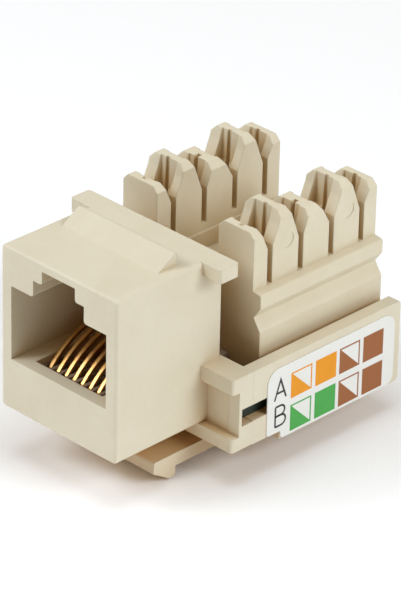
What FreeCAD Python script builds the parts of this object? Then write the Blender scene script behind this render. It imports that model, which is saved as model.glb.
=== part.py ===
import FreeCAD, Part
import Sketcher
import math
import os

# Keystone jack: an 8-way modular socket that snaps into a panel cut-out, with
# eight insulation-displacement terminals in two rows behind it.
#
# Construction frame: X across the face (0 at its middle), Y rearward from the
# front face, Z up from the underside of the front body.  Every piece is placed
# from there into the panel frame: the origin is the middle of the panel
# cut-out, in the plane where the panel's back meets the jack's stops.

V = FreeCAD.Vector
os.makedirs("parts", exist_ok=True)
doc = FreeCAD.newDocument("keystone_jack")
sheet = doc.addObject("Spreadsheet::Sheet", "dims")


class Dim:
    """A length as a number, with the sheet expression that drives it."""

    def __init__(self, value, text):
        self.v = float(value)
        self.e = text

    def __add__(self, o):
        o = dim(o)
        return Dim(self.v + o.v, "(%s + %s)" % (self.e, o.e))

    def __radd__(self, o):
        return dim(o) + self

    def __sub__(self, o):
        o = dim(o)
        return Dim(self.v - o.v, "(%s - %s)" % (self.e, o.e))

    def __rsub__(self, o):
        return dim(o) - self

    def __mul__(self, o):
        o = dim(o)
        return Dim(self.v * o.v, "(%s * %s)" % (self.e, o.e))

    def __rmul__(self, o):
        return dim(o) * self

    def __truediv__(self, o):
        o = dim(o)
        return Dim(self.v / o.v, "(%s / %s)" % (self.e, o.e))

    def __neg__(self):
        return Dim(-self.v, "(0 - %s)" % self.e)


def dim(o):
    return o if isinstance(o, Dim) else Dim(o, "(%.6f)" % float(o))


class Sheet:
    pass


D = Sheet()

DIMENSIONS = [
    # front body
    ("face_w", 14.5, "width of the front body"),
    ("face_high", 16.2, "height of the front body"),
    ("face_round", 0.45, "rounding of the front body's long edges"),
    ("rim_round", 0.3, "rounding of the front rim"),
    ("body_deep", 12.6, "depth of the front body"),
    ("stop_y", 10.3, "front face to the panel stops"),
    ("seam_y", 12.85, "front face to the seam with the rear tray"),
    ("bar_w", 18.8, "width of the upper stop bar"),
    ("bar_thick", 1.3, "thickness of the upper stop bar"),
    ("sill_thick", 1.5, "thickness of the lower stop bar"),
    ("rib_w", 12.0, "width of the ramp rib"),
    ("rib_foot", 6.05, "front face to the foot of the ramp"),
    ("rib_back", 8.3, "front face to the back of the ramp"),
    ("rib_rise", 1.25, "height of the ramp rib"),
    # plug opening
    ("port_w", 11.95, "width of the plug opening"),
    ("port_low", 5.15, "height of the opening's floor"),
    ("port_top", 12.47, "height of the opening's ceiling"),
    ("step_w", 6.37, "width of the first notch step"),
    ("step_top", 14.1, "top of the first notch step"),
    ("tab_w", 4.12, "width of the plug tab's notch"),
    ("tab_top", 15.42, "top of the plug tab's notch"),
    ("port_deep", 11.3, "depth of the plug opening"),
    ("catch_deep", 1.5, "thickness of the tab's catch shoulders"),
    ("lip_deep", 1.3, "depth of the floor's front lip"),
    ("bay_half", 4.2, "half-width of the contact bay"),
    ("bay_low", 1.1, "height of the contact bay's floor"),
    # side brackets and tray
    ("wall_out", 11.25, "centre plane to the outer side faces"),
    ("wall_thick", 1.3, "thickness of the tray's side walls"),
    ("wall_top", 6.05, "height of the side walls"),
    ("back_top", 4.3, "height of the tray's back wall"),
    ("comb_top", 4.55, "top of the comb between the wires' bends"),
    ("arm_thick", 1.5, "thickness of the bracket's upper arm"),
    ("panel_y", 11.25, "front face to the bracket's inner panel"),
    ("strip_y", 11.15, "front face to the bracket's wall end"),
    ("low_arm_top", 0.05, "top of the bracket's lower arm"),
    ("tray_end", 31.75, "front face to the back of the tray"),
    ("tray_low_front", -1.35, "underside of the tray's front part"),
    ("tray_step_y", 16.3, "front face to the step in the tray's underside"),
    ("tray_low", -1.9, "underside of the tray's floor"),
    ("wall_low", -2.15, "underside of the side walls"),
    ("floor_top", -0.35, "top of the tray's floor"),
    ("slot_front", 11.5, "front end of the board slot"),
    ("slot_back", 16.0, "back end of the board slot"),
    ("slot_low", 1.0, "lower edge of the board slot"),
    ("slot_top", 2.73, "upper edge of the board slot"),
    # board
    ("board_low", 1.05, "underside of the circuit board"),
    ("board_thick", 1.6, "thickness of the circuit board"),
    ("board_half", 9.8, "half-width of the circuit board"),
    ("board_ear", 10.25, "half-width over the board's ears"),
    ("board_front", 11.6, "front edge of the board"),
    ("board_back", 30.1, "back edge of the board"),
    # contacts
    ("pitch", 1.02, "pitch of the contact wires"),
    ("wire_w", 0.38, "width of a contact wire"),
    ("wire_thick", 0.35, "thickness of a contact wire"),
    ("deck", 3.35, "top of the carrier's deck"),
    ("tail_near", 13.4, "first row of wire tails"),
    ("tail_far", 14.7, "second row of wire tails"),
    # terminal block
    ("block_front", 15.65, "front face to the front of the block"),
    ("block_back", 31.3, "front face to the back of the block"),
    ("row_in", 3.85, "centre plane to the rows' inner faces"),
    ("row_out", 8.17, "centre plane to the rows' outer faces"),
    ("ledge_out", 9.15, "centre plane to the ledge's edge"),
    ("waist_out", 8.35, "centre plane to the waist"),
    ("slot_bottom", 11.75, "bottom of the conductor slots"),
    ("slot_one", 17.7, "first conductor slot"),
    ("slot_pitch", 3.9, "pitch of the conductor slots"),
    ("slot_half", 0.315, "half-width of a conductor slot"),
    ("lip_in", 0.95, "width of the inner end lip on each tooth"),
    ("lip_out", 1.25, "width of the outer end lip on each tooth"),
    ("tall", 18.42, "top of the tall teeth"),
    ("low_tooth", 17.3, "top of the low tooth"),
    ("front_tooth", 17.35, "top of the front end plate"),
    ("back_tooth", 17.25, "top of the back end tooth"),
    ("channel_low", 9.3, "floor of the cable channel"),
    ("channel_half", 3.55, "half-width of the channel's lower part"),
    ("channel_step", 11.0, "height of the step in the channel's sides"),
    ("blade_x", 6.05, "centre plane to the terminal blades"),
    ("blade_thick", 0.4, "thickness of a terminal blade"),
    ("blade_half", 1.3, "half-width of a terminal blade"),
    ("blade_top", 15.2, "top of the terminal blades"),
    ("blade_stem", 0.7, "half-width of a terminal blade's stem"),
    ("stem_top", 7.0, "height of the stem's shoulders"),
    ("groove_low", 13.0, "foot of the wider groove above a blade"),
    ("groove_half", 1.62, "half-width of the groove above a blade"),
    ("groove_end", 1.42, "half-width of that groove in the end tooth"),
    # latch
    ("latch_half", 6.25, "half-width of the panel latch"),
    ("latch_top", -2.55, "top of the latch arm"),
    ("latch_low", -3.85, "underside of the latch arm"),
    ("latch_tip", -4.9, "tip of the latch's hook"),
    ("latch_front", 5.7, "front end of the latch"),
    ("hook_back", 8.4, "back of the hook"),
    ("root_y", 17.6, "latch root"),
    ("root_z", -1.95, "height of the latch root"),
    ("root_round", 0.6, "radius of the latch root"),
    # label
    ("label_thick", 0.1, "thickness of the label"),
    ("label_front", 14.6, "front edge of the label"),
    ("label_back", 31.0, "back edge of the label"),
    ("label_low", -2.1, "lower edge of the label"),
    ("label_low_front", -1.3, "lower edge of the label's front end"),
    ("label_step", 0.15, "set-off of the label's step from the wall's step"),
    ("label_top", 5.2, "upper edge of the label"),
    ("label_round", 1.4, "corner radius of the label"),
]
for row, (alias, value, note) in enumerate(DIMENSIONS, start=1):
    sheet.set("A%d" % row, note)
    sheet.set("B%d" % row, "%g" % value)
    sheet.setAlias("B%d" % row, alias)
    setattr(D, alias, Dim(value, "dims.%s" % alias))
doc.recompute()

# ---------------------------------------------------------------- helpers

PIECES = []          # (node name, document object)
CUTS = []            # features that must take material away


def bind(obj, prop, value):
    value = dim(value)
    obj.setExpression(prop, value.e)


def place(obj, name):
    """Name a finished piece and move it into the panel frame."""
    obj.Label = name
    bind(obj, "Placement.Base.y", -D.stop_y)
    bind(obj, "Placement.Base.z", -D.face_high / 2)
    PIECES.append((name, obj))


def plane(body, role):
    for f in body.Origin.OriginFeatures:
        if f.Role == role:
            return f
    raise RuntimeError("no plane " + role)


def draw(sk, points):
    """A closed outline.  A point is (a, b), or (a, b, (ma, mb)) for an arc
    through (ma, mb) from the point before it, with the coordinate of its
    centre after that where the sheet drives it.  Every corner is tied to the
    sheet through the sketch's own axes."""
    n = len(points)
    corner = [(dim(p[0]), dim(p[1])) for p in points]
    mids = [p[2] if len(p) > 2 else None for p in points]
    for i in range(n):
        a, b = corner[i], corner[(i + 1) % n]
        m = mids[(i + 1) % n]
        if m is None:
            sk.addGeometry(Part.LineSegment(V(a[0].v, a[1].v, 0), V(b[0].v, b[1].v, 0)), False)
        else:
            arc = Part.Arc(V(a[0].v, a[1].v, 0), V(dim(m[0]).v, dim(m[1]).v, 0), V(b[0].v, b[1].v, 0))
            sk.addGeometry(arc, False)

    # which end of each edge lies on its first corner (a clockwise arc is kept
    # by the sketch the other way round)
    ends = []
    for i in range(n):
        p = sk.getPoint(i, 1)
        ends.append(1 if abs(p.x - corner[i][0].v) + abs(p.y - corner[i][1].v) < 1e-6 else 2)

    centres = [sk.getPoint(i, 3) if mids[(i + 1) % n] is not None else None for i in range(n)]

    def first(i):
        return ends[i]

    for i in range(n):
        j = (i + 1) % n
        sk.addConstraint(Sketcher.Constraint("Coincident", i, 3 - first(i), j, first(j)))
    for i in range(n):
        for kind, k in (("DistanceX", 0), ("DistanceY", 1)):
            c = sk.addConstraint(Sketcher.Constraint(kind, -1, 1, i, first(i), corner[i][k].v))
            name = "%s%d" % ("ab"[k] + "_", i)
            sk.renameConstraint(c, name)
            sk.setExpression("Constraints.%s" % name, corner[i][k].e)
    for i in range(n):
        # an arc's last freedom: its centre, along the chord's bisector
        p = points[(i + 1) % n]
        if mids[(i + 1) % n] is not None:
            a, b = corner[i], corner[(i + 1) % n]
            k = 0 if abs(b[1].v - a[1].v) > abs(b[0].v - a[0].v) else 1
            c = sk.addConstraint(Sketcher.Constraint(("DistanceX", "DistanceY")[k], -1, 1, i, 3, centres[i][k]))
            if len(p) > 3:
                sk.renameConstraint(c, "centre_%d" % i)
                sk.setExpression("Constraints.centre_%d" % i, dim(p[3]).e)


def sketch(body, name, role, points, at=0.0):
    """A sketch on one of the body's own planes, shifted to the given height."""
    sk = body.newObject("Sketcher::SketchObject", name)
    sk.AttachmentSupport = [(plane(body, role), "")]
    sk.MapMode = "FlatFace"
    at = dim(at)
    # the XZ plane's normal points forward, against Y
    bind(sk, "AttachmentOffset.Base.z", -at if role == "XZ_Plane" else at)
    draw(sk, points)
    return sk


def pad(body, name, role, points, start, end):
    start, end = dim(start), dim(end)
    sk = sketch(body, name + "_outline", role, points, start)
    f = body.newObject("PartDesign::Pad", name)
    f.Profile = sk
    f.Reversed = role == "XZ_Plane"
    bind(f, "Length", end - start)
    body.Tip = f
    return f


def pocket(body, name, role, points, start, end):
    """Cut from start to end, where end is the larger coordinate."""
    start, end = dim(start), dim(end)
    sk = sketch(body, name + "_outline", role, points, start)
    f = body.newObject("PartDesign::Pocket", name)
    f.Profile = sk
    f.Reversed = role != "XZ_Plane"
    bind(f, "Length", end - start)
    body.Tip = f
    CUTS.append((body, f))
    return f


def block(body, name, x0, x1, y0, y1, z0, z1, cut=False):
    kind = "PartDesign::SubtractiveBox" if cut else "PartDesign::AdditiveBox"
    f = body.newObject(kind, name)
    x0, x1, y0, y1, z0, z1 = [dim(k) for k in (x0, x1, y0, y1, z0, z1)]
    bind(f, "Length", x1 - x0)
    bind(f, "Width", y1 - y0)
    bind(f, "Height", z1 - z0)
    bind(f, "Placement.Base.x", x0)
    bind(f, "Placement.Base.y", y0)
    bind(f, "Placement.Base.z", z0)
    body.Tip = f
    if cut:
        CUTS.append((body, f))
    return f


def edges_of(shape, test):
    names = []
    for i, e in enumerate(shape.Edges, start=1):
        if len(e.Vertexes) == 2 and test(e.Vertexes[0].Point, e.Vertexes[1].Point):
            names.append("Edge%d" % i)
    return names


def along(k, p, q, tol=1e-4):
    return all(abs(p[i] - q[i]) < tol for i in range(3) if i != k) and abs(p[k] - q[k]) > tol


def round_edges(body, name, radius, test, kind="PartDesign::Fillet", need=1):
    doc.recompute()
    base = body.Tip
    names = edges_of(base.Shape, test)
    if len(names) < need:
        raise RuntimeError("%s: found %d edges of %d" % (name, len(names), need))
    f = body.newObject(kind, name)
    f.Base = (base, names)
    bind(f, "Radius" if kind.endswith("Fillet") else "Size", radius)
    body.Tip = f
    return f


def near(a, b, tol=1e-3):
    return abs(a - (b.v if isinstance(b, Dim) else b)) < tol


def rect(a0, a1, b0, b1):
    return [(a0, b0), (a1, b0), (a1, b1), (a0, b1)]


SIDES = (("right", 1), ("left", -1))
S45 = math.sqrt(0.5)


def span(side, near_x, far_x):
    """The X interval from near_x out to far_x on one side."""
    near_x, far_x = dim(near_x), dim(far_x)
    return (near_x, far_x) if side > 0 else (-far_x, -near_x)


# ---------------------------------------------------------------- front housing
# One moulding: the plug socket's box with its ramp rib, the two bars that stop
# against the panel's back, and the two brackets that carry the tray.

body = doc.addObject("PartDesign::Body", "front_housing")
half = D.face_w / 2
block(body, "shell", -half, half, 0, D.body_deep, 0, D.face_high)
round_edges(body, "shell_edges", D.face_round, lambda p, q: along(1, p, q), need=4)
round_edges(body, "front_rim", D.rim_round, lambda p, q: near(p[1], 0) and near(q[1], 0), need=8)
pad(body, "upper_stop", "XY_Plane",
    rect(-D.bar_w / 2, D.bar_w / 2, D.stop_y, D.body_deep), D.face_high - D.bar_thick, D.face_high)
pad(body, "ramp_rib", "YZ_Plane",
    [(D.rib_foot, D.face_high - 0.3), (D.rib_back, D.face_high - 0.3), (D.rib_back, D.face_high + D.rib_rise),
     (D.rib_back - 0.25, D.face_high + D.rib_rise), (D.rib_foot, D.face_high)],
    -D.rib_w / 2, D.rib_w / 2)
block(body, "lower_stop", -half - 0.2, half + 0.2, D.stop_y, D.seam_y, -D.sill_thick, 0.0)
wall_in = D.wall_out - D.wall_thick
for word, s in SIDES:
    a, b = span(s, half - 0.5, D.wall_out)
    block(body, word + "_bracket", a, b, D.panel_y, D.seam_y, -D.sill_thick, D.wall_top)
    c, e = span(s, wall_in, D.wall_out)
    block(body, word + "_wall_end", c, e, D.strip_y, D.seam_y, -D.sill_thick, D.wall_top)
    block(body, word + "_upper_arm", a, b, D.stop_y, D.seam_y, D.wall_top - D.arm_thick, D.wall_top)
    block(body, word + "_lower_arm", a, b, D.stop_y, D.seam_y, -D.sill_thick, D.low_arm_top)
round_edges(body, "stop_corners", 0.3,
            lambda p, q: along(2, p, q) and near(abs(p[0]), D.bar_w / 2), need=4)
round_edges(body, "bracket_corners", 0.3,
            lambda p, q: along(2, p, q) and near(abs(p[0]), D.wall_out) and near(p[1], D.stop_y), need=4)
round_edges(body, "lower_corners", 0.35,
            lambda p, q: along(1, p, q) and near(abs(p[0]), D.wall_out) and near(p[2], -D.sill_thick), need=2)

# the plug opening, stepped for the plug's tab
port = [(-D.port_w / 2, D.port_low), (D.port_w / 2, D.port_low), (D.port_w / 2, D.port_top),
        (D.step_w / 2, D.port_top), (D.step_w / 2, D.step_top), (D.tab_w / 2, D.step_top),
        (D.tab_w / 2, D.tab_top), (-D.tab_w / 2, D.tab_top), (-D.tab_w / 2, D.step_top),
        (-D.step_w / 2, D.step_top), (-D.step_w / 2, D.port_top), (-D.port_w / 2, D.port_top)]
pocket(body, "plug_opening", "XZ_Plane", port, 0, D.port_deep)
round_edges(body, "step_corners", 0.3,
            lambda p, q: along(1, p, q) and (
                (near(abs(p[0]), D.step_w / 2) and near(p[2], D.port_top))
                or (near(abs(p[0]), D.tab_w / 2) and near(p[2], D.step_top))), need=4)
# room behind the shoulders that hold the plug's tab
block(body, "tab_room", -D.step_w / 2, D.step_w / 2, D.catch_deep, D.port_deep, D.step_top - 0.4, D.tab_top - 0.2, cut=True)
# bay for the contact carrier, open to the rear
block(body, "contact_bay", -D.bay_half, D.bay_half, D.lip_deep, D.seam_y + 0.5, D.bay_low, D.port_low + 0.4, cut=True)
block(body, "carrier_door", -5.6, 5.6, D.port_deep - 0.2, D.seam_y + 0.5, D.slot_low, 12.0, cut=True)
# slot across both brackets for the circuit board
block(body, "board_slot", -D.wall_out - 0.5, D.wall_out + 0.5, D.slot_front, D.seam_y + 0.5, D.slot_low, D.slot_top, cut=True)
place(body, "front_housing")

# ---------------------------------------------------------------- rear tray
# One moulding: two side walls, a floor and a back wall round the board.

body = doc.addObject("PartDesign::Body", "rear_tray")
pad(body, "tray_floor", "YZ_Plane",
    [(D.seam_y, D.tray_low_front), (D.tray_step_y, D.tray_low_front), (D.tray_step_y, D.tray_low),
     (D.tray_end - 0.3, D.tray_low),
     (D.tray_end, D.tray_low + 0.3, (D.tray_end - 0.3 + 0.3 * S45, D.tray_low + 0.3 - 0.3 * S45), D.tray_low + 0.3),
     (D.tray_end, D.floor_top), (D.seam_y, D.floor_top)],
    -D.wall_out, D.wall_out)
for word, s in SIDES:
    a, b = span(s, wall_in, D.wall_out)
    pad(body, word + "_wall", "YZ_Plane",
        [(D.seam_y, D.tray_low_front), (D.tray_step_y, D.tray_low_front), (D.tray_step_y, D.wall_low),
         (D.tray_end - 0.5, D.wall_low),
         (D.tray_end, D.wall_low + 0.5, (D.tray_end - 0.5 + 0.5 * S45, D.wall_low + 0.5 - 0.5 * S45), D.wall_low + 0.5),
         (D.tray_end, D.wall_top), (D.seam_y, D.wall_top)], a, b)
    a, b = span(s, 8.6, wall_in + 0.2)
    block(body, word + "_ledge", a, b, D.seam_y, D.tray_end - 0.5, D.floor_top - 0.2, D.board_low)
block(body, "back_wall", -wall_in - 0.2, wall_in + 0.2, D.tray_end - 1.25, D.tray_end, D.floor_top - 0.2, D.back_top)
round_edges(body, "end_corners", 0.3,
            lambda p, q: along(0, p, q) and near(p[1], D.tray_end) and near(p[2], D.wall_top),
            need=2)
for word, s in SIDES:
    a, b = span(s, wall_in - 0.3, D.wall_out + 0.3)
    block(body, word + "_window", a, b, D.seam_y - 0.3, D.slot_back, D.slot_low + 0.05, D.slot_top, cut=True)
# rounded seat for the latch root in the floor's underside
r = D.root_round + 0.04
seat = [(D.root_y - r, D.root_z - 0.6), (D.root_y + r, D.root_z - 0.6), (D.root_y + r, D.root_z),
        (D.root_y - r, D.root_z, (D.root_y, D.root_z + r), D.root_z)]
pocket(body, "latch_seat", "YZ_Plane", seat, -D.latch_half - 0.1, D.latch_half + 0.1)
place(body, "rear_tray")

# ---------------------------------------------------------------- panel latch
# The springy arm under the body, hooked at its front end, from its root.

body = doc.addObject("PartDesign::Body", "panel_latch")
pad(body, "latch_arm", "YZ_Plane",
    [(D.latch_front, D.latch_top), (D.latch_front, D.latch_low + 0.15), (7.7, D.latch_tip),
     (D.hook_back, D.latch_tip + 0.1), (D.hook_back, D.latch_low),
     (D.root_y + D.root_round, D.latch_low), (D.root_y + D.root_round, D.root_z),
     (D.root_y - D.root_round, D.root_z, (D.root_y, D.root_z + D.root_round), D.root_z),
     (D.root_y - D.root_round, D.latch_top)],
    -D.latch_half, D.latch_half)
round_edges(body, "latch_ends", 0.25,
            lambda p, q: along(0, p, q) and (
                (near(p[1], D.latch_front) and near(p[2], D.latch_top))
                or (near(p[1], 7.7) and near(p[2], D.latch_tip))
                or (near(p[1], D.hook_back) and near(p[2], D.latch_tip + 0.1))), need=3)
round_edges(body, "latch_root_corner", 0.9,
            lambda p, q: along(0, p, q) and near(p[1], D.root_y + D.root_round) and near(p[2], D.latch_low), need=1)
place(body, "panel_latch")

# ---------------------------------------------------------------- contact carrier
# An insert with a comb that keeps the eight contact wires apart: a deck in the
# front body, an upright behind the plug and a shelf over the board.

WIRES = range(8)


def wire_x(i):
    return (i - 3.5) * D.pitch


board_top = D.board_low + D.board_thick
body = doc.addObject("PartDesign::Body", "contact_carrier")
pad(body, "deck_block", "YZ_Plane",
    [(D.lip_deep + 0.1, D.bay_low + 0.05), (D.board_front - 0.1, D.bay_low + 0.05),
     (D.board_front - 0.1, board_top + 0.05), (D.port_deep + 1.2, board_top + 0.05),
     (D.port_deep + 1.2, D.deck), (D.lip_deep + 0.1, D.deck)],
    -(D.bay_half - 0.08), D.bay_half - 0.08)
block(body, "upright", -5.5, 5.5, D.port_deep + 0.05, D.port_deep + 1.2, board_top + 0.05, 11.9)
block(body, "tail_shelf", -5.5, 5.5, D.port_deep + 1.2, 15.5, board_top + 0.05, 4.6)
for i in range(9):
    x = (i - 4) * D.pitch
    if i in (0, 8):
        x0, x1 = (-(D.bay_half - 0.08), x + 0.2) if i == 0 else (x - 0.2, D.bay_half - 0.08)
    else:
        x0, x1 = x - 0.2, x + 0.2
    pad(body, "comb_%d" % (i + 1), "YZ_Plane",
        [(D.lip_deep + 0.1, D.deck - 0.1), (6.4, D.deck - 0.1), (6.4, D.deck + 0.4), (4.3, D.comb_top),
         (D.lip_deep + 0.4, D.comb_top), (D.lip_deep + 0.1, D.comb_top - 0.3)], x0, x1)
for i in WIRES:
    x = wire_x(i)
    # slots for the wires' free ends in the upright, and channels for their legs
    block(body, "tip_slot_%d" % (i + 1), x - 0.31, x + 0.31, D.port_deep, D.port_deep + 0.85, 5.2, 11.6, cut=True)
    block(body, "leg_channel_%d" % (i + 1), x - 0.29, x + 0.29, D.port_deep, 15.2, D.board_low + 1.2, D.deck + 0.45, cut=True)
place(body, "contact_carrier")

# ---------------------------------------------------------------- contact wires
# Each is one formed spring wire: a tail in the board, a leg forward along the
# deck, a tight bend behind the lip, and an arched free arm that rises to the rear.

t = D.wire_thick
for i in WIRES:
    body = doc.addObject("PartDesign::Body", "contact_wire_%d" % (i + 1))
    tail = D.tail_near if i % 2 == 0 else D.tail_far
    leg = D.deck
    outline = [
        (tail - t / 2, 0.45), (tail + t / 2, 0.45), (tail + t / 2, leg + t - 0.3),
        (tail + t / 2 - 0.3, leg + t, (tail.v + t.v / 2 - 0.0879, leg.v + t.v - 0.0879)),
        (2.896, leg + t),
        (2.675, 4.175, (2.634, 3.867)),
        (6.514, 6.819, (4.417, 5.758)),
        (11.977, 7.951, (9.209, 7.559)),
        (11.95, 8.300),
        (6.40, 7.150, (9.138, 7.902)),
        (2.407, 4.400, (4.219, 6.046)),
        (2.896, leg, (2.317, 3.719)),
        (tail - t / 2, leg),
    ]
    x = wire_x(i)
    pad(body, "formed_wire_%d" % (i + 1), "YZ_Plane", outline, x - D.wire_w / 2, x + D.wire_w / 2)
    place(body, "contact_wire_%d" % (i + 1))

# ---------------------------------------------------------------- circuit board

BLADES = [(row, k) for row in (1, -1) for k in range(4)]


def slot_y(k):
    return D.slot_one + k * D.slot_pitch


body = doc.addObject("PartDesign::Body", "circuit_board")
block(body, "board", -D.board_half, D.board_half, D.board_front, D.board_back, D.board_low, board_top)
block(body, "board_ears", -D.board_ear, D.board_ear, D.board_front, D.slot_back - 0.15, D.board_low, board_top)
holes = body.newObject("Sketcher::SketchObject", "hole_layout")
holes.AttachmentSupport = [(plane(body, "XY_Plane"), "")]
holes.MapMode = "FlatFace"
bind(holes, "AttachmentOffset.Base.z", D.board_low - 0.2)
spots = [(wire_x(i), D.tail_near if i % 2 == 0 else D.tail_far) for i in WIRES]
spots += [(row * D.blade_x, slot_y(k)) for row, k in BLADES]
for j, (x, y) in enumerate(spots):
    x, y = dim(x), dim(y)
    holes.addGeometry(Part.Circle(V(x.v, y.v, 0), V(0, 0, 1), 0.38), False)
    for kind, e in (("DistanceX", x), ("DistanceY", y)):
        c = holes.addConstraint(Sketcher.Constraint(kind, -1, 1, j, 3, e.v))
        name = "%s_%d" % (kind.lower(), j)
        holes.renameConstraint(c, name)
        holes.setExpression("Constraints.%s" % name, e.e)
    holes.addConstraint(Sketcher.Constraint("Radius", j, 0.38))
f = body.newObject("PartDesign::Pocket", "board_holes")
f.Profile = holes
f.Reversed = True
bind(f, "Length", D.board_thick + 0.6)
body.Tip = f
CUTS.append((body, f))
place(body, "circuit_board")

# ---------------------------------------------------------------- terminal block
# One moulding: a base with a cable channel and two rows of pointed teeth.

YZ = FreeCAD.Rotation(V(1, 1, 1), 120)
XZ = FreeCAD.Rotation(V(1, 0, 0), 90)


def loose_sketch(name, points, rot, prop, at):
    sk = doc.addObject("Sketcher::SketchObject", name)
    sk.Placement = FreeCAD.Placement(V(0, 0, 0), rot)
    bind(sk, prop, at)
    draw(sk, points)
    return sk


def extrude(name, sk, direction, length):
    f = doc.addObject("Part::Extrusion", name)
    f.Base = sk
    f.DirMode = "Custom"
    f.Dir = direction
    f.Solid = True
    bind(f, "LengthFwd", length)
    return f


def box(name, x0, x1, y0, y1, z0, z1):
    f = doc.addObject("Part::Box", name)
    x0, x1, y0, y1, z0, z1 = [dim(k) for k in (x0, x1, y0, y1, z0, z1)]
    bind(f, "Length", x1 - x0)
    bind(f, "Width", y1 - y0)
    bind(f, "Height", z1 - z0)
    bind(f, "Placement.Base.x", x0)
    bind(f, "Placement.Base.y", y0)
    bind(f, "Placement.Base.z", z0)
    return f


def fuse(name, shapes):
    f = doc.addObject("Part::MultiFuse", name)
    f.Shapes = shapes
    f.Refine = True
    return f


def cut(name, base, tool):
    f = doc.addObject("Part::Cut", name)
    f.Base = base
    f.Tool = tool
    f.Refine = True
    return f


right = [(D.ledge_out, 6.3), (D.ledge_out, 8.0), (D.waist_out, 9.2), (D.ledge_out, 10.3),
         (D.ledge_out, D.slot_bottom - 0.25), (D.ledge_out - 0.15, D.slot_bottom - 0.12),
         (D.row_out, D.slot_bottom), (D.row_in, D.slot_bottom),
         (D.row_in, D.channel_step), (D.channel_half, D.channel_step), (D.channel_half, D.channel_low)]
left = [(-dim(a), b) for a, b in reversed(right)]
section = loose_sketch("block_section", right + left, XZ, "Placement.Base.y", D.block_front)
base = extrude("block_base", section, V(0, 1, 0), D.block_back - D.block_front)
skirt = box("block_skirt", -D.ledge_out, D.ledge_out, D.block_front, D.tray_end - 1.35, board_top, 6.4)
apron = box("block_apron", -D.ledge_out, D.ledge_out, D.tray_end - 1.45, D.block_back, D.back_top + 0.1, 6.4)

# the row's skyline: end plate, tall, low and tall tooth, end tooth
sky = [(D.block_front, 11.0), (D.block_back, 11.0), (D.block_back, D.back_tooth),
       (slot_y(3), D.back_tooth), (slot_y(3), D.tall), (slot_y(2), D.tall),
       (slot_y(2), D.low_tooth), (slot_y(1), D.low_tooth), (slot_y(1), D.tall),
       (slot_y(0), D.tall), (slot_y(0), D.front_tooth), (D.block_front, D.front_tooth)]
skyline = loose_sketch("row_skyline", sky, YZ, "Placement.Base.x", D.row_in)
row_blank = extrude("row_blank", skyline, V(1, 0, 0), D.row_out - D.row_in)
doc.recompute()
crown = doc.addObject("Part::Chamfer", "row_crown")
crown.Base = row_blank
marks = []
for i, e in enumerate(row_blank.Shape.Edges, start=1):
    p, q = e.Vertexes[0].Point, e.Vertexes[-1].Point
    if along(1, p, q) and p[2] > 15:
        marks.append((i, 0.6, 0.6))
crown.Edges = marks

# conductor slots with funnel mouths: each flank is a pair of end lips with a
# steeper recess between them, and a tooth's front flank is the steeper one
BEHIND = {  # (half-gap, height) up a tooth's rear flank, in front of a slot: lips, then recess
    "tall": ([(0.315, 15.2), (1.32, 17.9), (1.56, 18.5)], [(0.315, 12.9), (1.25, 15.3), (1.66, 18.5)]),
    "low": ([(0.315, 15.2), (1.15, 16.7), (1.60, 17.4)], [(0.315, 12.9), (1.20, 14.9), (1.68, 17.4)]),
    "front": ([(0.315, 15.3), (0.85, 16.5), (1.15, 17.45)], [(0.315, 12.9), (0.90, 14.9), (1.22, 17.45)]),
}
AHEAD = {   # the same up a tooth's front flank, behind a slot
    "tall": ([(0.315, 15.5), (1.05, 17.3), (1.38, 18.5)], [(0.315, 12.9), (1.30, 15.4), (1.46, 18.5)]),
    "low": ([(0.315, 15.2), (0.80, 16.5), (1.00, 17.4)], [(0.315, 12.9), (0.98, 14.8), (1.10, 17.4)]),
    "back": ([(0.315, 15.4), (0.86, 16.5), (1.15, 17.35)], [(0.315, 12.9), (1.08, 15.0), (1.22, 17.35)]),
}
FLANKS = [("front", "tall"), ("tall", "low"), ("low", "tall"), ("tall", "back")]
top = 19.4
cutters = []
for k, (fore, aft) in enumerate(FLANKS):
    y = slot_y(k)
    cutters.append(box("slot_%d" % (k + 1), D.row_in - 0.5, D.row_out + 0.5, y - D.slot_half, y + D.slot_half, D.slot_bottom, top))
    sections = []
    for j, (x, part) in enumerate(((D.row_in - 0.05, 0), (D.row_in + D.lip_in, 0), (D.row_in + D.lip_in + 0.06, 1),
                                   (D.row_out - D.lip_out - 0.06, 1), (D.row_out - D.lip_out, 0), (D.row_out + 0.05, 0))):
        f, a = BEHIND[fore][part], AHEAD[aft][part]
        pts = [(y - f[2][0], top), (y - f[2][0], f[2][1]), (y - f[1][0], f[1][1]), (y - f[0][0], f[0][1]),
               (y + a[0][0], a[0][1]), (y + a[1][0], a[1][1]), (y + a[2][0], a[2][1]), (y + a[2][0], top)]
        sections.append(loose_sketch("funnel_%d_%d" % (k + 1, j + 1), pts, YZ, "Placement.Base.x", x))
    loft = doc.addObject("Part::Loft", "funnel_%d" % (k + 1))
    loft.Sections = sections
    loft.Solid = True
    loft.Ruled = True
    cutters.append(loft)
row = cut("tooth_row", crown, fuse("row_cutters", cutters))
mirror = doc.addObject("Part::Mirroring", "tooth_row_mirrored")
mirror.Source = row
mirror.Base = V(0, 0, 0)
mirror.Normal = V(1, 0, 0)
solid_block = fuse("block_solid", [base, skirt, apron, row, mirror])

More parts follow.
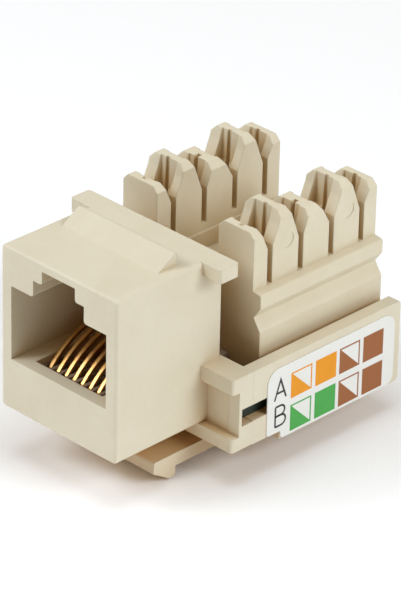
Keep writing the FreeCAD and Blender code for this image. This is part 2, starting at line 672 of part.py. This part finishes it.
# channels that hold the blades, shallow slanting ejector marks on the outer faces
channels = []
for rw, k in BLADES:
    x, y = rw * D.blade_x, slot_y(k)
    x0, x1 = x - D.blade_thick / 2 - 0.03, x + D.blade_thick / 2 + 0.03
    n = len(channels) // 3 + 1
    channels.append(box("blade_channel_%d" % n, x0, x1, y - D.blade_half - 0.05, y + D.blade_half + 0.05, D.stem_top - 0.05, top))
    aft_reach = D.groove_end if k == 3 else D.groove_half
    channels.append(box("groove_%d" % n, x0, x1, y - D.groove_half, y + aft_reach, D.groove_low, top))
    channels.append(box("stem_channel_%d" % n, x0, x1, y - D.blade_stem - 0.05, y + D.blade_stem + 0.05, board_top - 0.2, D.stem_top + 0.2))
for rw in (1, -1):
    for y, z in ((19.85, 15.35), (27.55, 15.55)):
        c = doc.addObject("Part::Cylinder", "ejector_mark")
        c.Radius = 0.78
        c.Height = 0.3
        c.Placement = FreeCAD.Placement(V(0, y, z), FreeCAD.Rotation(V(0, 0, 1), V(rw, 0.05, -0.035)))
        bind(c, "Placement.Base.x", rw * (D.row_out - 0.012))
        channels.append(c)
idc = cut("idc_block", solid_block, fuse("block_cutters", channels))
place(idc, "idc_block")

# ---------------------------------------------------------------- terminal blades
# Flat forked blades: a slit with a lead-in above, shoulders and a pin below.

for n, (rw, k) in enumerate(BLADES, start=1):
    body = doc.addObject("PartDesign::Body", "idc_blade_%d" % n)
    y = slot_y(k)
    w = D.blade_half
    stem = D.blade_stem
    outline = [(y - stem, board_top), (y - 0.26, board_top), (y - 0.26, 0.45), (y + 0.26, 0.45), (y + 0.26, board_top),
               (y + stem, board_top), (y + stem, D.stem_top), (y + w, D.stem_top),
               (y + w, D.blade_top - 0.35), (y + w - 0.35, D.blade_top), (y + 0.62, D.blade_top),
               (y + 0.14, D.blade_top - 0.85), (y + 0.14, 12.3), (y - 0.14, 12.3), (y - 0.14, D.blade_top - 0.85),
               (y - 0.62, D.blade_top), (y - w + 0.35, D.blade_top), (y - w, D.blade_top - 0.35),
               (y - w, D.stem_top), (y - stem, D.stem_top)]
    x = rw * D.blade_x
    pad(body, "blade_%d" % n, "YZ_Plane", outline, x - D.blade_thick / 2, x + D.blade_thick / 2)
    place(body, "idc_blade_%d" % n)

# ---------------------------------------------------------------- labels
# Printed stickers with the wiring colours, one on each side wall.

for word, s in SIDES:
    body = doc.addObject("PartDesign::Body", "label_" + word)
    a, b = span(s, D.wall_out, D.wall_out + D.label_thick)
    pad(body, "sticker_" + word, "YZ_Plane",
        [(D.label_front, D.label_low_front), (D.tray_step_y, D.label_low_front),
         (D.tray_step_y + D.label_step, D.label_low), (D.label_back, D.label_low),
         (D.label_back, D.label_top), (D.label_front, D.label_top)], a, b)
    round_edges(body, "sticker_corners_" + word, D.label_round,
                lambda p, q: along(0, p, q) and near(p[2], D.label_top), need=2)
    round_edges(body, "sticker_back_corner_" + word, 1.0,
                lambda p, q: along(0, p, q) and near(p[2], D.label_low) and near(p[1], D.label_back), need=1)
    round_edges(body, "sticker_step_" + word, 0.3,
                lambda p, q: along(0, p, q) and (
                    (near(p[2], D.label_low) and near(p[1], D.tray_step_y + D.label_step))
                    or (near(p[2], D.label_low_front) and near(p[1], D.label_front))), need=2)
    place(body, "label_" + word)

# ---------------------------------------------------------------- checks and output

doc.recompute()
for obj in doc.Objects:
    if "Invalid" in obj.State or "Error" in obj.State:
        raise RuntimeError("%s (%s) failed: %s" % (obj.Name, obj.Label, obj.State))
for body, f in CUTS:
    group = [g for g in body.Group if hasattr(g, "Shape") and not g.TypeId.startswith("Sketcher")]
    before = group[group.index(f) - 1].Shape.Volume
    if not f.Shape.Volume < before - 1e-4:
        raise RuntimeError("%s takes nothing away from %s" % (f.Name, body.Label))
for name, obj in PIECES:
    shape = obj.Shape
    if shape.isNull() or not shape.isValid():
        raise RuntimeError("%s has no valid shape" % name)
    if len(shape.Solids) != 1:
        raise RuntimeError("%s is %d solids" % (name, len(shape.Solids)))
for old in os.listdir("parts"):
    if old.endswith(".step"):
        os.remove(os.path.join("parts", old))
for name, obj in PIECES:
    obj.Shape.exportStep("parts/%s.step" % name)
    bb = obj.Shape.BoundBox
    print("%-18s %8.2f mm3  x %6.2f %6.2f  y %6.2f %6.2f  z %6.2f %6.2f" % (
        name, obj.Shape.Volume, bb.XMin, bb.XMax, bb.YMin, bb.YMax, bb.ZMin, bb.ZMax))
print(len(PIECES), "pieces")
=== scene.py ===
import math

import bmesh
import bpy
from mathutils import Matrix, Vector


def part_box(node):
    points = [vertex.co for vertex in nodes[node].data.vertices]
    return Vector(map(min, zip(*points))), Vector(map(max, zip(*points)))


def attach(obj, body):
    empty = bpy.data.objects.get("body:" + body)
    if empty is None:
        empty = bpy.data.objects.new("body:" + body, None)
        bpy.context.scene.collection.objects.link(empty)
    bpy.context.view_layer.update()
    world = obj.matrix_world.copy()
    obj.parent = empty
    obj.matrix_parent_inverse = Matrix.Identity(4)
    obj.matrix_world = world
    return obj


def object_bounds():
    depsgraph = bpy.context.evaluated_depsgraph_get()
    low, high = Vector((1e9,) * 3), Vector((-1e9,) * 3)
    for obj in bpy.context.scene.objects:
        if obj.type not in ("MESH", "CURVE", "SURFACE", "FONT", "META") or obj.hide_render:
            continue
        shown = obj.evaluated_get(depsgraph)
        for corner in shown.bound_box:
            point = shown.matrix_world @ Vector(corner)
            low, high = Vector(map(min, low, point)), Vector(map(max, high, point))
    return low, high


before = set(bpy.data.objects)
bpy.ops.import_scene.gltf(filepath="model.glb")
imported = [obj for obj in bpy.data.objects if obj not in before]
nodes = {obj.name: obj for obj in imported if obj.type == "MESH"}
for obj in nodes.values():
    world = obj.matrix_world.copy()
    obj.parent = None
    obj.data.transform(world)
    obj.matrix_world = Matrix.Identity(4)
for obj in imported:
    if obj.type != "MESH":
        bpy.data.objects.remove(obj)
cad_low, cad_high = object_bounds()
MM = 0.001

# ---------------------------------------------------------------- materials


def new_material(name):
    m = bpy.data.materials.new(name)
    m.use_nodes = True
    tree = m.node_tree
    tree.nodes.clear()
    out = tree.nodes.new("ShaderNodeOutputMaterial")
    shader = tree.nodes.new("ShaderNodeBsdfPrincipled")
    tree.links.new(shader.outputs["BSDF"], out.inputs["Surface"])
    place = tree.nodes.new("ShaderNodeTexCoord")
    return m, tree, shader, place.outputs["Object"]


def stretched(tree, place, scale):
    n = tree.nodes.new("ShaderNodeMapping")
    n.inputs["Scale"].default_value = scale
    tree.links.new(place, n.inputs["Vector"])
    return n.outputs["Vector"]


def noise(tree, place, size_mm, detail=2.0, rough=0.5, distort=0.0):
    """Cloudy variation whose patches are about size_mm across."""
    n = tree.nodes.new("ShaderNodeTexNoise")
    n.inputs["Scale"].default_value = 1.0 / (size_mm * MM)
    n.inputs["Detail"].default_value = detail
    n.inputs["Roughness"].default_value = rough
    n.inputs["Distortion"].default_value = distort
    tree.links.new(place, n.inputs["Vector"])
    return n.outputs["Fac"]


def spread(tree, value, low_in, high_in, low, high):
    n = tree.nodes.new("ShaderNodeMapRange")
    for key, v in (("From Min", low_in), ("From Max", high_in), ("To Min", low), ("To Max", high)):
        n.inputs[key].default_value = v
    n.clamp = True
    tree.links.new(value, n.inputs["Value"])
    return n.outputs["Result"]


def mixed(tree, factor, a, b):
    n = tree.nodes.new("ShaderNodeMix")
    n.data_type = "RGBA"
    n.blend_type = "MIX"
    tree.links.new(factor, n.inputs[0])
    for socket, c in ((n.inputs[6], a), (n.inputs[7], b)):
        if isinstance(c, tuple):
            socket.default_value = (*c, 1.0)
        else:
            tree.links.new(c, socket)
    return n.outputs[2]


def soft_edges(tree, radius_mm, samples=6):
    n = tree.nodes.new("ShaderNodeBevel")
    n.samples = samples
    n.inputs["Radius"].default_value = radius_mm * MM
    return n.outputs["Normal"]


def bump(tree, height, depth_mm, normal=None, strength=1.0):
    n = tree.nodes.new("ShaderNodeBump")
    n.inputs["Strength"].default_value = strength
    n.inputs["Distance"].default_value = depth_mm * MM
    tree.links.new(height, n.inputs["Height"])
    if normal is not None:
        tree.links.new(normal, n.inputs["Normal"])
    return n.outputs["Normal"]


def edge_mask(tree, normal, low, high):
    """1 on a rounded edge, 0 on a flat face; used to lighten edges as rubbed wear and painted highlight."""
    geo = tree.nodes.new("ShaderNodeNewGeometry")
    dot = tree.nodes.new("ShaderNodeVectorMath")
    dot.operation = "DOT_PRODUCT"
    tree.links.new(normal, dot.inputs[0])
    tree.links.new(geo.outputs["True Normal"], dot.inputs[1])
    return spread(tree, dot.outputs["Value"], 1.0 - low, 1.0 - high, 0.0, 1.0)


def painted_shade_mask(tree, reach_mm, open_at, closed_at, most):
    """Mask for painted shade: 0 on an open face, most deep in a hollow or a narrow gap."""
    n = tree.nodes.new("ShaderNodeAmbientOcclusion")
    n.samples = 6
    n.inputs["Distance"].default_value = reach_mm * MM
    return spread(tree, n.outputs["AO"], closed_at, open_at, most, 0.0)


def moulded(name, tone, deep, edge, rough=(0.42, 0.52), grain=0.0014, bevel=0.10, gloss=0.42, depth=0.0,
            hollow_shade_tone=None):
    """Moulded thermoplastic: faint flow mottling, satin micro grain, sink unevenness, rubbed edges lightened
    partly as painted highlight, and optionally painted brown shade in hollows and narrow gaps.
    """
    m, t, s, at = new_material(name)
    rounded = soft_edges(t, bevel)
    clouds = noise(t, at, 5.0, 3.0, 0.55, 0.4)
    tint = mixed(t, spread(t, clouds, 0.35, 0.65, 0.0, 1.0), deep, tone)
    flecks = noise(t, at, 0.5, 2.0, 0.6)
    tint = mixed(t, spread(t, flecks, 0.30, 0.42, 0.16, 0.0), tint, tuple(0.86 * c for c in deep))
    # rounded edges lightened towards the edge tone: partly rubbed wear, partly a painted highlight
    tint = mixed(t, spread(t, edge_mask(t, rounded, 0.02, 0.30), 0.0, 1.0, 0.0, 0.55), tint, edge)
    # painted shade: hollows and narrow gaps are tinted towards a deep brown, standing in for the dim bounced
    # light inside them
    if hollow_shade_tone:
        tint = mixed(t, painted_shade_mask(t, 9.0, 0.66, 0.16, 1.0), tint, hollow_shade_tone)
    t.links.new(tint, s.inputs["Base Color"])
    t.links.new(spread(t, noise(t, at, 1.3, 2.0), 0.3, 0.7, *rough), s.inputs["Roughness"])
    n = bump(t, noise(t, at, 3.2, 1.0), 0.012, rounded)
    n = bump(t, noise(t, at, 0.16, 3.0, 0.6), grain, n)
    t.links.new(n, s.inputs["Normal"])
    s.inputs["Specular IOR Level"].default_value = gloss
    s.inputs["IOR"].default_value = 1.52
    if depth:
        s.inputs["Subsurface Weight"].default_value = depth
        s.inputs["Subsurface Radius"].default_value = (1.0, 0.78, 0.5)
        s.inputs["Subsurface Scale"].default_value = 0.0006
    return m


def plated(name, tone, deep, rough=(0.16, 0.34), along=(1.0, 0.12, 0.12), bevel=0.05, worn=None):
    """Plated metal: fine drawing lines along the wire, cloudy polish, darker where the plating is thin."""
    m, t, s, at = new_material(name)
    rounded = soft_edges(t, bevel)
    lines = noise(t, stretched(t, at, along), 0.03, 2.0)
    clouds = noise(t, at, 2.4, 2.0, 0.5)
    tint = mixed(t, spread(t, clouds, 0.30, 0.66, 0.0, 1.0), deep, tone)
    if worn:
        tint = mixed(t, spread(t, noise(t, at, 0.22, 3.0), 0.62, 0.72, 0.0, 0.5), tint, worn)
    t.links.new(tint, s.inputs["Base Color"])
    s.inputs["Metallic"].default_value = 1.0
    t.links.new(spread(t, lines, 0.3, 0.7, *rough), s.inputs["Roughness"])
    t.links.new(bump(t, lines, 0.0002, rounded), s.inputs["Normal"])
    return m


def laminate(name):
    """Solder mask over woven glass: the weave shows as a faint ripple, tracks as slightly paler bands."""
    m, t, s, at = new_material(name)
    rounded = soft_edges(t, 0.04, 4)
    weave = t.nodes.new("ShaderNodeTexWave")
    weave.inputs["Scale"].default_value = 1.0 / (0.9 * MM)
    weave.inputs["Distortion"].default_value = 0.8
    t.links.new(at, weave.inputs["Vector"])
    weave2 = t.nodes.new("ShaderNodeTexWave")
    weave2.bands_direction = "Y"
    weave2.inputs["Scale"].default_value = 1.0 / (0.9 * MM)
    weave2.inputs["Distortion"].default_value = 0.8
    t.links.new(at, weave2.inputs["Vector"])
    cloud = noise(t, at, 0.8, 3.0)
    tint = mixed(t, spread(t, cloud, 0.3, 0.7, 0.0, 1.0), (0.010, 0.020, 0.017), (0.020, 0.038, 0.030))
    tint = mixed(t, spread(t, weave.outputs["Fac"], 0.3, 1.0, 0.0, 0.35), tint, (0.045, 0.068, 0.055))
    t.links.new(tint, s.inputs["Base Color"])
    t.links.new(spread(t, cloud, 0.3, 0.7, 0.28, 0.4), s.inputs["Roughness"])
    n = bump(t, weave.outputs["Fac"], 0.003, rounded)
    n = bump(t, weave2.outputs["Fac"], 0.003, n)
    t.links.new(n, s.inputs["Normal"])
    return m


def paper(name, tone, deep, rough=(0.38, 0.50), grain=0.0012, gloss=0.22):
    """Coated sticker stock or the ink on it: fibre clouds, faint mottle and a slight orange peel."""
    m, t, s, at = new_material(name)
    fibre = noise(t, stretched(t, at, (1.0, 1.0, 2.2)), 0.35, 4.0, 0.65, 0.6)
    wide = noise(t, at, 2.5, 2.0)
    tint = mixed(t, spread(t, fibre, 0.25, 0.75, 0.0, 1.0), deep, tone)
    tint = mixed(t, spread(t, wide, 0.35, 0.65, 0.25, 0.0), tint, deep)
    t.links.new(tint, s.inputs["Base Color"])
    t.links.new(spread(t, wide, 0.3, 0.7, *rough), s.inputs["Roughness"])
    t.links.new(bump(t, fibre, grain), s.inputs["Normal"])
    s.inputs["Specular IOR Level"].default_value = gloss
    return m


# the last colour given to each ivory plastic is the brown painted shade laid into its hollows and gaps
# the third colour of each plastic is its lighter edge tone, partly rubbed wear and partly painted highlight
ivory = moulded("ivory_plastic", (0.705, 0.640, 0.490), (0.678, 0.608, 0.458), (0.77, 0.712, 0.575), depth=0.04,
                hollow_shade_tone=(0.60, 0.385, 0.175))
ivory_block = moulded("ivory_block_plastic", (0.715, 0.644, 0.484), (0.688, 0.612, 0.450), (0.775, 0.712, 0.565),
                      bevel=0.15, depth=0.04, hollow_shade_tone=(0.60, 0.42, 0.20))
dark_insert = moulded("dark_insert_plastic", (0.300, 0.205, 0.135), (0.250, 0.168, 0.108), (0.36, 0.26, 0.18),
                      rough=(0.5, 0.62), gloss=0.25)
gold = plated("gold_plate", (0.78, 0.46, 0.17), (0.55, 0.285, 0.09), rough=(0.27, 0.36), bevel=0.16)
tin = plated("tinned_bronze", (0.70, 0.68, 0.63), (0.50, 0.47, 0.42), rough=(0.28, 0.45), along=(1.0, 1.0, 0.1),
             worn=(0.55, 0.40, 0.26))
solder = plated("solder", (0.62, 0.64, 0.65), (0.46, 0.48, 0.49), rough=(0.35, 0.55), along=(1, 1, 1))
board = laminate("green_board")
sticker = paper("sticker_paper", (0.820, 0.812, 0.775), (0.77, 0.762, 0.722))

INKS = {
    "orange": paper("ink_orange", (0.82, 0.325, 0.012), (0.77, 0.290, 0.010)),
    "green": paper("ink_green", (0.078, 0.400, 0.080), (0.064, 0.355, 0.068)),
    "brown": paper("ink_brown", (0.345, 0.125, 0.040), (0.310, 0.108, 0.034)),
    "blue": paper("ink_blue", (0.045, 0.170, 0.500), (0.036, 0.145, 0.440)),
    "dark": paper("ink_dark", (0.060, 0.058, 0.062), (0.045, 0.044, 0.048)),
}


def dress(node, material):
    data = nodes[node].data
    data.materials.clear()
    data.materials.append(material)


for name in nodes:
    if name.startswith("contact_wire"):
        dress(name, gold)
    elif name.startswith("idc_blade"):
        dress(name, tin)
dress("front_housing", ivory)
dress("rear_tray", ivory)
dress("panel_latch", ivory)
dress("idc_block", ivory_block)
dress("contact_carrier", dark_insert)
dress("circuit_board", board)
dress("label_right", sticker)
dress("label_left", sticker)

# ---------------------------------------------------------------- mesh helpers


def add_piece(name, bm, materials, body):
    bmesh.ops.recalc_face_normals(bm, faces=bm.faces[:])
    mesh = bpy.data.meshes.new(name)
    bm.to_mesh(mesh)
    bm.free()
    for m in materials:
        mesh.materials.append(m)
    obj = bpy.data.objects.new(name, mesh)
    bpy.context.scene.collection.objects.link(obj)
    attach(obj, body)
    return obj


def slab(bm, outline, x0, x1, ink):
    """A thin printed patch: its outline in (y, z), raised from x0 to x1."""
    low = [bm.verts.new((x0, y, z)) for y, z in outline]
    high = [bm.verts.new((x1, y, z)) for y, z in outline]
    faces = [bm.faces.new(high), bm.faces.new(low[::-1])]
    n = len(outline)
    for i in range(n):
        j = (i + 1) % n
        faces.append(bm.faces.new((low[i], low[j], high[j], high[i])))
    for f in faces:
        f.material_index = ink


def stroke(bm, points, width, x0, x1, ink, closed=False):
    """A line of ink of one width through points, with mitred corners."""
    pts = [Vector((p[0], p[1])) for p in points]
    n = len(pts)
    sides = []
    for i, p in enumerate(pts):
        before = pts[i - 1] if (i > 0 or closed) else None
        after = pts[(i + 1) % n] if (i < n - 1 or closed) else None
        d0 = (p - before).normalized() if before is not None else (after - p).normalized()
        d1 = (after - p).normalized() if after is not None else d0
        n0, n1 = Vector((-d0.y, d0.x)), Vector((-d1.y, d1.x))
        mitre = (n0 + n1).normalized()
        reach = (width / 2) / max(0.35, mitre.dot(n0))
        sides.append((p + mitre * reach, p - mitre * reach))
    last = n if closed else n - 1
    for i in range(last):
        a, b = sides[i], sides[(i + 1) % n]
        slab(bm, [tuple(a[0]), tuple(b[0]), tuple(b[1]), tuple(a[1])], x0, x1, ink)


# ---------------------------------------------------------------- label print
# Two rows of colour cells behind the row letters.  A paired cell is white with
# its colour on the lower front half and as a thin frame round the rest.

ROW_Z = {"A": (3.62, 6.22), "B": (0.27, 2.93)}        # above the label's lowest edge
COLUMN_Y = [(2.95, 5.62), (6.08, 8.75), (9.17, 11.80), (12.26, 14.88)]   # behind its front edge
LETTER_A = [[(0.88, 4.12), (1.60, 6.10), (2.33, 4.12)], [(1.13, 4.80), (2.10, 4.80)]]
LETTER_B = [[(1.03, 1.42), (1.03, 3.44)]]


def bowl(y0, z0, z1, reach, steps=10):
    r = (z1 - z0) / 2
    out = [(y0, z1)]
    for k in range(steps + 1):
        a = math.pi / 2 - math.pi * k / steps
        out.append((reach - r + r * math.cos(a), (z0 + z1) / 2 + r * math.sin(a)))
    return out + [(y0, z0)]


LETTER_B.append(bowl(1.03, 2.47, 3.44, 2.20))
LETTER_B.append(bowl(1.03, 1.42, 2.47, 2.33))

PRINT = {
    "right": {"A": ["orange", "brown"], "B": ["green", "brown"]},
    "left": {"A": ["green", "blue"], "B": ["orange", "blue"]},
}
ink_names = list(INKS)

for side, sign in (("right", 1), ("left", -1)):
    lo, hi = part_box("label_" + side)
    face = hi.x if sign > 0 else lo.x
    back, front = face - sign * 0.02 * MM, face + sign * 0.012 * MM
    ink_top = face + sign * 0.008 * MM

    def at(points):
        return [(lo.y + u * MM, lo.z + v * MM) for u, v in points]

    bm = bmesh.new()
    for row, (z0, z1) in ROW_Z.items():
        for k, colour in enumerate(PRINT[side][row]):
            ink = ink_names.index(colour)
            (a0, a1), (b0, b1) = COLUMN_Y[2 * k], COLUMN_Y[2 * k + 1]
            slab(bm, at([(a0, z0), (a1, z0 + 0.04), (a0, z1)]), back, front, ink)
            w = 0.15
            slab(bm, at([(a0, z1), (a1, z1), (a1 - w, z1 - w), (a0 + w, z1 - w)]), back, ink_top, ink)
            slab(bm, at([(a1, z1), (a1, z0), (a1 - w, z0 + w), (a1 - w, z1 - w)]), back, ink_top, ink)
            slab(bm, at([(b0, z0), (b1, z0), (b1, z1), (b0, z1)]), back, front, ink)
    add_piece("label_print_" + side, bm, [INKS[k] for k in ink_names], "jack_body")

    # on the left side the letters read the right way round for someone facing that side
    def letter(points, middle):
        return at([(u if sign > 0 else 2 * middle - u, v) for u, v in points])

    bm = bmesh.new()
    for line in LETTER_A:
        stroke(bm, letter(line, 1.60), 0.20 * MM, back, front, 0)
    for line in LETTER_B:
        stroke(bm, letter(line, 1.68), 0.20 * MM, back, front, 0)
    add_piece("label_letters_" + side, bm, [INKS["dark"]], "jack_body")

# ---------------------------------------------------------------- board lands
# Tinned half-round lands on the board's two ears, where they show in the side slots.

b_lo, b_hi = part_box("circuit_board")


def land(bm, x, y, sign, half, z0, z1):
    """A plated half-hole on the board's edge with its lip on the upper face."""
    steps = 8
    out_x = x + sign * 0.03 * MM
    pts = []
    for k in range(steps + 1):
        a = math.pi * k / steps - math.pi / 2
        pts.append((x - sign * 0.05 * MM + sign * (0.08 * MM) * math.cos(a), y + half * math.sin(a)))
    low = [bm.verts.new((px, py, z0)) for px, py in pts]
    high = [bm.verts.new((px, py, z1)) for px, py in pts]
    bm.faces.new(high)
    bm.faces.new(low[::-1])
    n = len(pts)
    for i in range(n):
        j = (i + 1) % n
        bm.faces.new((low[i], low[j], high[j], high[i]))
    return out_x


bm = bmesh.new()
for sign in (1, -1):
    edge = b_hi.x if sign > 0 else b_lo.x
    for k, (along_edge, half, drop) in enumerate(((0.95, 0.42, 0.42), (2.05, 0.22, 0.30), (2.95, 0.40, 0.55), (4.00, 0.24, 0.34))):
        land(bm, edge, b_lo.y + along_edge * MM, sign, half * MM, b_hi.z - drop * MM, b_hi.z + 0.012 * MM)
add_piece("board_edge_lands", bm, [solder], "jack_body")

# ---------------------------------------------------------------- stage

floor_mat, t, s, place = new_material("floor_white")
cloud = noise(t, place, 300.0, 2.0)
t.links.new(mixed(t, cloud, (0.975, 0.975, 0.975), (0.992, 0.992, 0.992)), s.inputs["Base Color"])
s.inputs["Roughness"].default_value = 0.9
s.inputs["Specular IOR Level"].default_value = 0.1
bm = bmesh.new()
bmesh.ops.create_grid(bm, x_segments=8, y_segments=8, size=0.20)
mesh = bpy.data.meshes.new("floor")
bm.to_mesh(mesh)
bm.free()
mesh.materials.append(floor_mat)
floor = bpy.data.objects.new("floor", mesh)
floor.location = (0, 0, cad_low.z - 0.0002)
bpy.context.scene.collection.objects.link(floor)

world = bpy.data.worlds.new("studio")
world.use_nodes = True
wt = world.node_tree
glow = wt.nodes["Background"]                 # the soft fill
glow.inputs["Color"].default_value = (1.0, 0.88, 0.70, 1.0)
glow.inputs["Strength"].default_value = 0.30
paper_white = wt.nodes.new("ShaderNodeBackground")    # the backdrop behind the floor's far edge
paper_white.inputs["Color"].default_value = (1.0, 1.0, 1.0, 1.0)
paper_white.inputs["Strength"].default_value = 0.97
ray = wt.nodes.new("ShaderNodeLightPath")
pick = wt.nodes.new("ShaderNodeMixShader")
wt.links.new(ray.outputs["Is Camera Ray"], pick.inputs[0])
wt.links.new(glow.outputs["Background"], pick.inputs[1])
wt.links.new(paper_white.outputs["Background"], pick.inputs[2])
wt.links.new(pick.outputs[0], wt.nodes["World Output"].inputs["Surface"])
bpy.context.scene.world = world

middle = (cad_low + cad_high) / 2


def softbox(name, azimuth, elevation, distance, size, power, colour=(1, 1, 1)):
    data = bpy.data.lights.new(name, "AREA")
    data.shape = "RECTANGLE"
    data.size = size[0]
    data.size_y = size[1]
    data.energy = power
    data.color = colour
    obj = bpy.data.objects.new(name, data)
    a, e = math.radians(azimuth), math.radians(elevation)
    d = Vector((math.sin(a) * math.cos(e), -math.cos(a) * math.cos(e), math.sin(e)))
    obj.location = middle + d * distance
    obj.rotation_euler = d.to_track_quat("Z", "Y").to_euler()
    bpy.context.scene.collection.objects.link(obj)
    return obj


cool = (0.865, 0.925, 1.0)
softbox("key", -38, 40, 0.55, (0.25, 0.25), 1.66, cool)
softbox("side", 104, 32, 0.55, (0.25, 0.25), 1.66, cool)
softbox("top", 30, 84, 0.55, (0.30, 0.30), 0.98, cool)

# ---------------------------------------------------------------- camera

camera_data = bpy.data.cameras.new("camera")
camera_data.sensor_fit = "HORIZONTAL"
camera_data.sensor_width = 36.0
camera_data.lens = 377.0574
camera_data.clip_start = 0.01
camera_data.clip_end = 20.0
camera = bpy.data.objects.new("camera", camera_data)
right = Vector((0.7066352, 0.7073192, 0.0191404))
up = Vector((-0.3536630, 0.3296331, 0.8753653))
back = Vector((0.6128533, -0.6253332, 0.4830830))
turn = Matrix((right, up, back)).transposed().to_4x4()
camera.matrix_world = Matrix.Translation((0.2301076, -0.2276149, 0.1801455)) @ turn
bpy.context.scene.collection.objects.link(camera)
bpy.context.scene.camera = camera

bpy.context.scene.view_settings.view_transform = "Standard"
bpy.context.scene.view_settings.look = "None"
bpy.context.scene.view_settings.exposure = 0.0
bpy.context.scene.view_settings.gamma = 1.0
